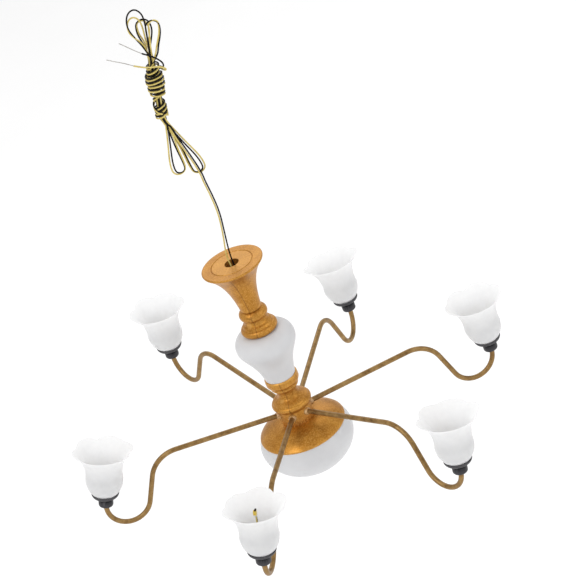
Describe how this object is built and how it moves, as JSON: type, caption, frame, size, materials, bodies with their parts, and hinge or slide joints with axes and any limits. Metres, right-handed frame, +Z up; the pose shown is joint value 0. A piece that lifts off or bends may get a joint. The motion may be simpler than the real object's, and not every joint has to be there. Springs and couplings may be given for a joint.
{
  "type": "miniature chandelier",
  "caption": "Doll's house ceiling chandelier: gilt stem with white glass vase and bowl, bent brass arms with black cups and lift-off tulip shades, and wound leads.",
  "frame": {"origin": "centre of the canopy's flat top face, which sits against the ceiling", "axes": "+Z up along the stem, out of the ceiling face; +X towards the arm at the right of the pictured view; +Y away from the viewer"},
  "size_m": [0.1021, 0.0995, 0.1171],
  "materials": {
    "gilt": "satin gold paint, slightly mottled",
    "milk_glass": "white opal, soft gloss",
    "brass_tube": "aged, satin",
    "black_cup": "semi-matt",
    "frosted_shade": "frosted",
    "lamp_chip": "yellow phosphor lens on a dark chip",
    "glue": "clear glue tinted by the gilt",
    "black_insulation": "satin",
    "yellow_insulation": "satin",
    "tinned_wire": null
  },
  "bodies": {
    "chandelier": {"canopy": "gilt", "centre_tube": "brass_tube", "vase": "milk_glass", "hub": "gilt", "knurled_ring": "gilt", "bowl_cap": "gilt", "bowl": "milk_glass", "arm_glue": "glue", "arm_1": "brass_tube", "arm_2": "brass_tube", "arm_3": "brass_tube", "arm_4": "brass_tube", "arm_5": "brass_tube", "arm_6": "brass_tube", "cup_1": "black_cup", "cup_2": "black_cup", "cup_3": "black_cup", "cup_4": "black_cup", "cup_5": "black_cup", "cup_6": "black_cup", "lamp_1": "lamp_chip", "lamp_2": "lamp_chip", "lamp_3": "lamp_chip", "lamp_4": "lamp_chip", "lamp_5": "lamp_chip", "lamp_6": "lamp_chip", "black_lamp_lead_1": "black_insulation", "black_lamp_lead_2": "black_insulation", "black_lamp_lead_3": "black_insulation", "black_lamp_lead_4": "black_insulation", "black_lamp_lead_5": "black_insulation", "black_lamp_lead_6": "black_insulation", "yellow_lamp_lead_1": "yellow_insulation", "yellow_lamp_lead_2": "yellow_insulation", "yellow_lamp_lead_3": "yellow_insulation", "yellow_lamp_lead_4": "yellow_insulation", "yellow_lamp_lead_5": "yellow_insulation", "yellow_lamp_lead_6": "yellow_insulation", "black_splice": "black_insulation", "yellow_splice": "yellow_insulation", "black_inner_lead": "black_insulation", "yellow_inner_lead": "yellow_insulation", "black_lead": "black_insulation", "yellow_lead": "yellow_insulation", "lead_hank": "yellow_insulation", "yellow_tail": "yellow_insulation", "black_tip": "tinned_wire", "yellow_tip": "tinned_wire"},
    "shade_1": {"shade_1": "frosted_shade"},
    "shade_2": {"shade_2": "frosted_shade"},
    "shade_3": {"shade_3": "frosted_shade"},
    "shade_4": {"shade_4": "frosted_shade"},
    "shade_5": {"shade_5": "frosted_shade"},
    "shade_6": {"shade_6": "frosted_shade"}
  },
  "joints": [
    {"name": "shade_1_lift", "type": "slide", "parent": "chandelier", "child": "shade_1", "axis": [0.093, -0.0289, 0.9952], "range_m": [0, 0.012]},
    {"name": "shade_2_lift", "type": "slide", "parent": "chandelier", "child": "shade_2", "axis": [0.0073, 0.0741, 0.9972], "range_m": [0, 0.012]},
    {"name": "shade_3_lift", "type": "slide", "parent": "chandelier", "child": "shade_3", "axis": [-0.0009, 0.0087, 1], "range_m": [0, 0.012]},
    {"name": "shade_4_lift", "type": "slide", "parent": "chandelier", "child": "shade_4", "axis": [0.125, 0.0496, 0.9909], "range_m": [0, 0.012]},
    {"name": "shade_5_lift", "type": "slide", "parent": "chandelier", "child": "shade_5", "axis": [0.2221, 0.0298, 0.9746], "range_m": [0, 0.012]},
    {"name": "shade_6_lift", "type": "slide", "parent": "chandelier", "child": "shade_6", "axis": [0.3323, 0.032, 0.9426], "range_m": [0, 0.012]}
  ]
}
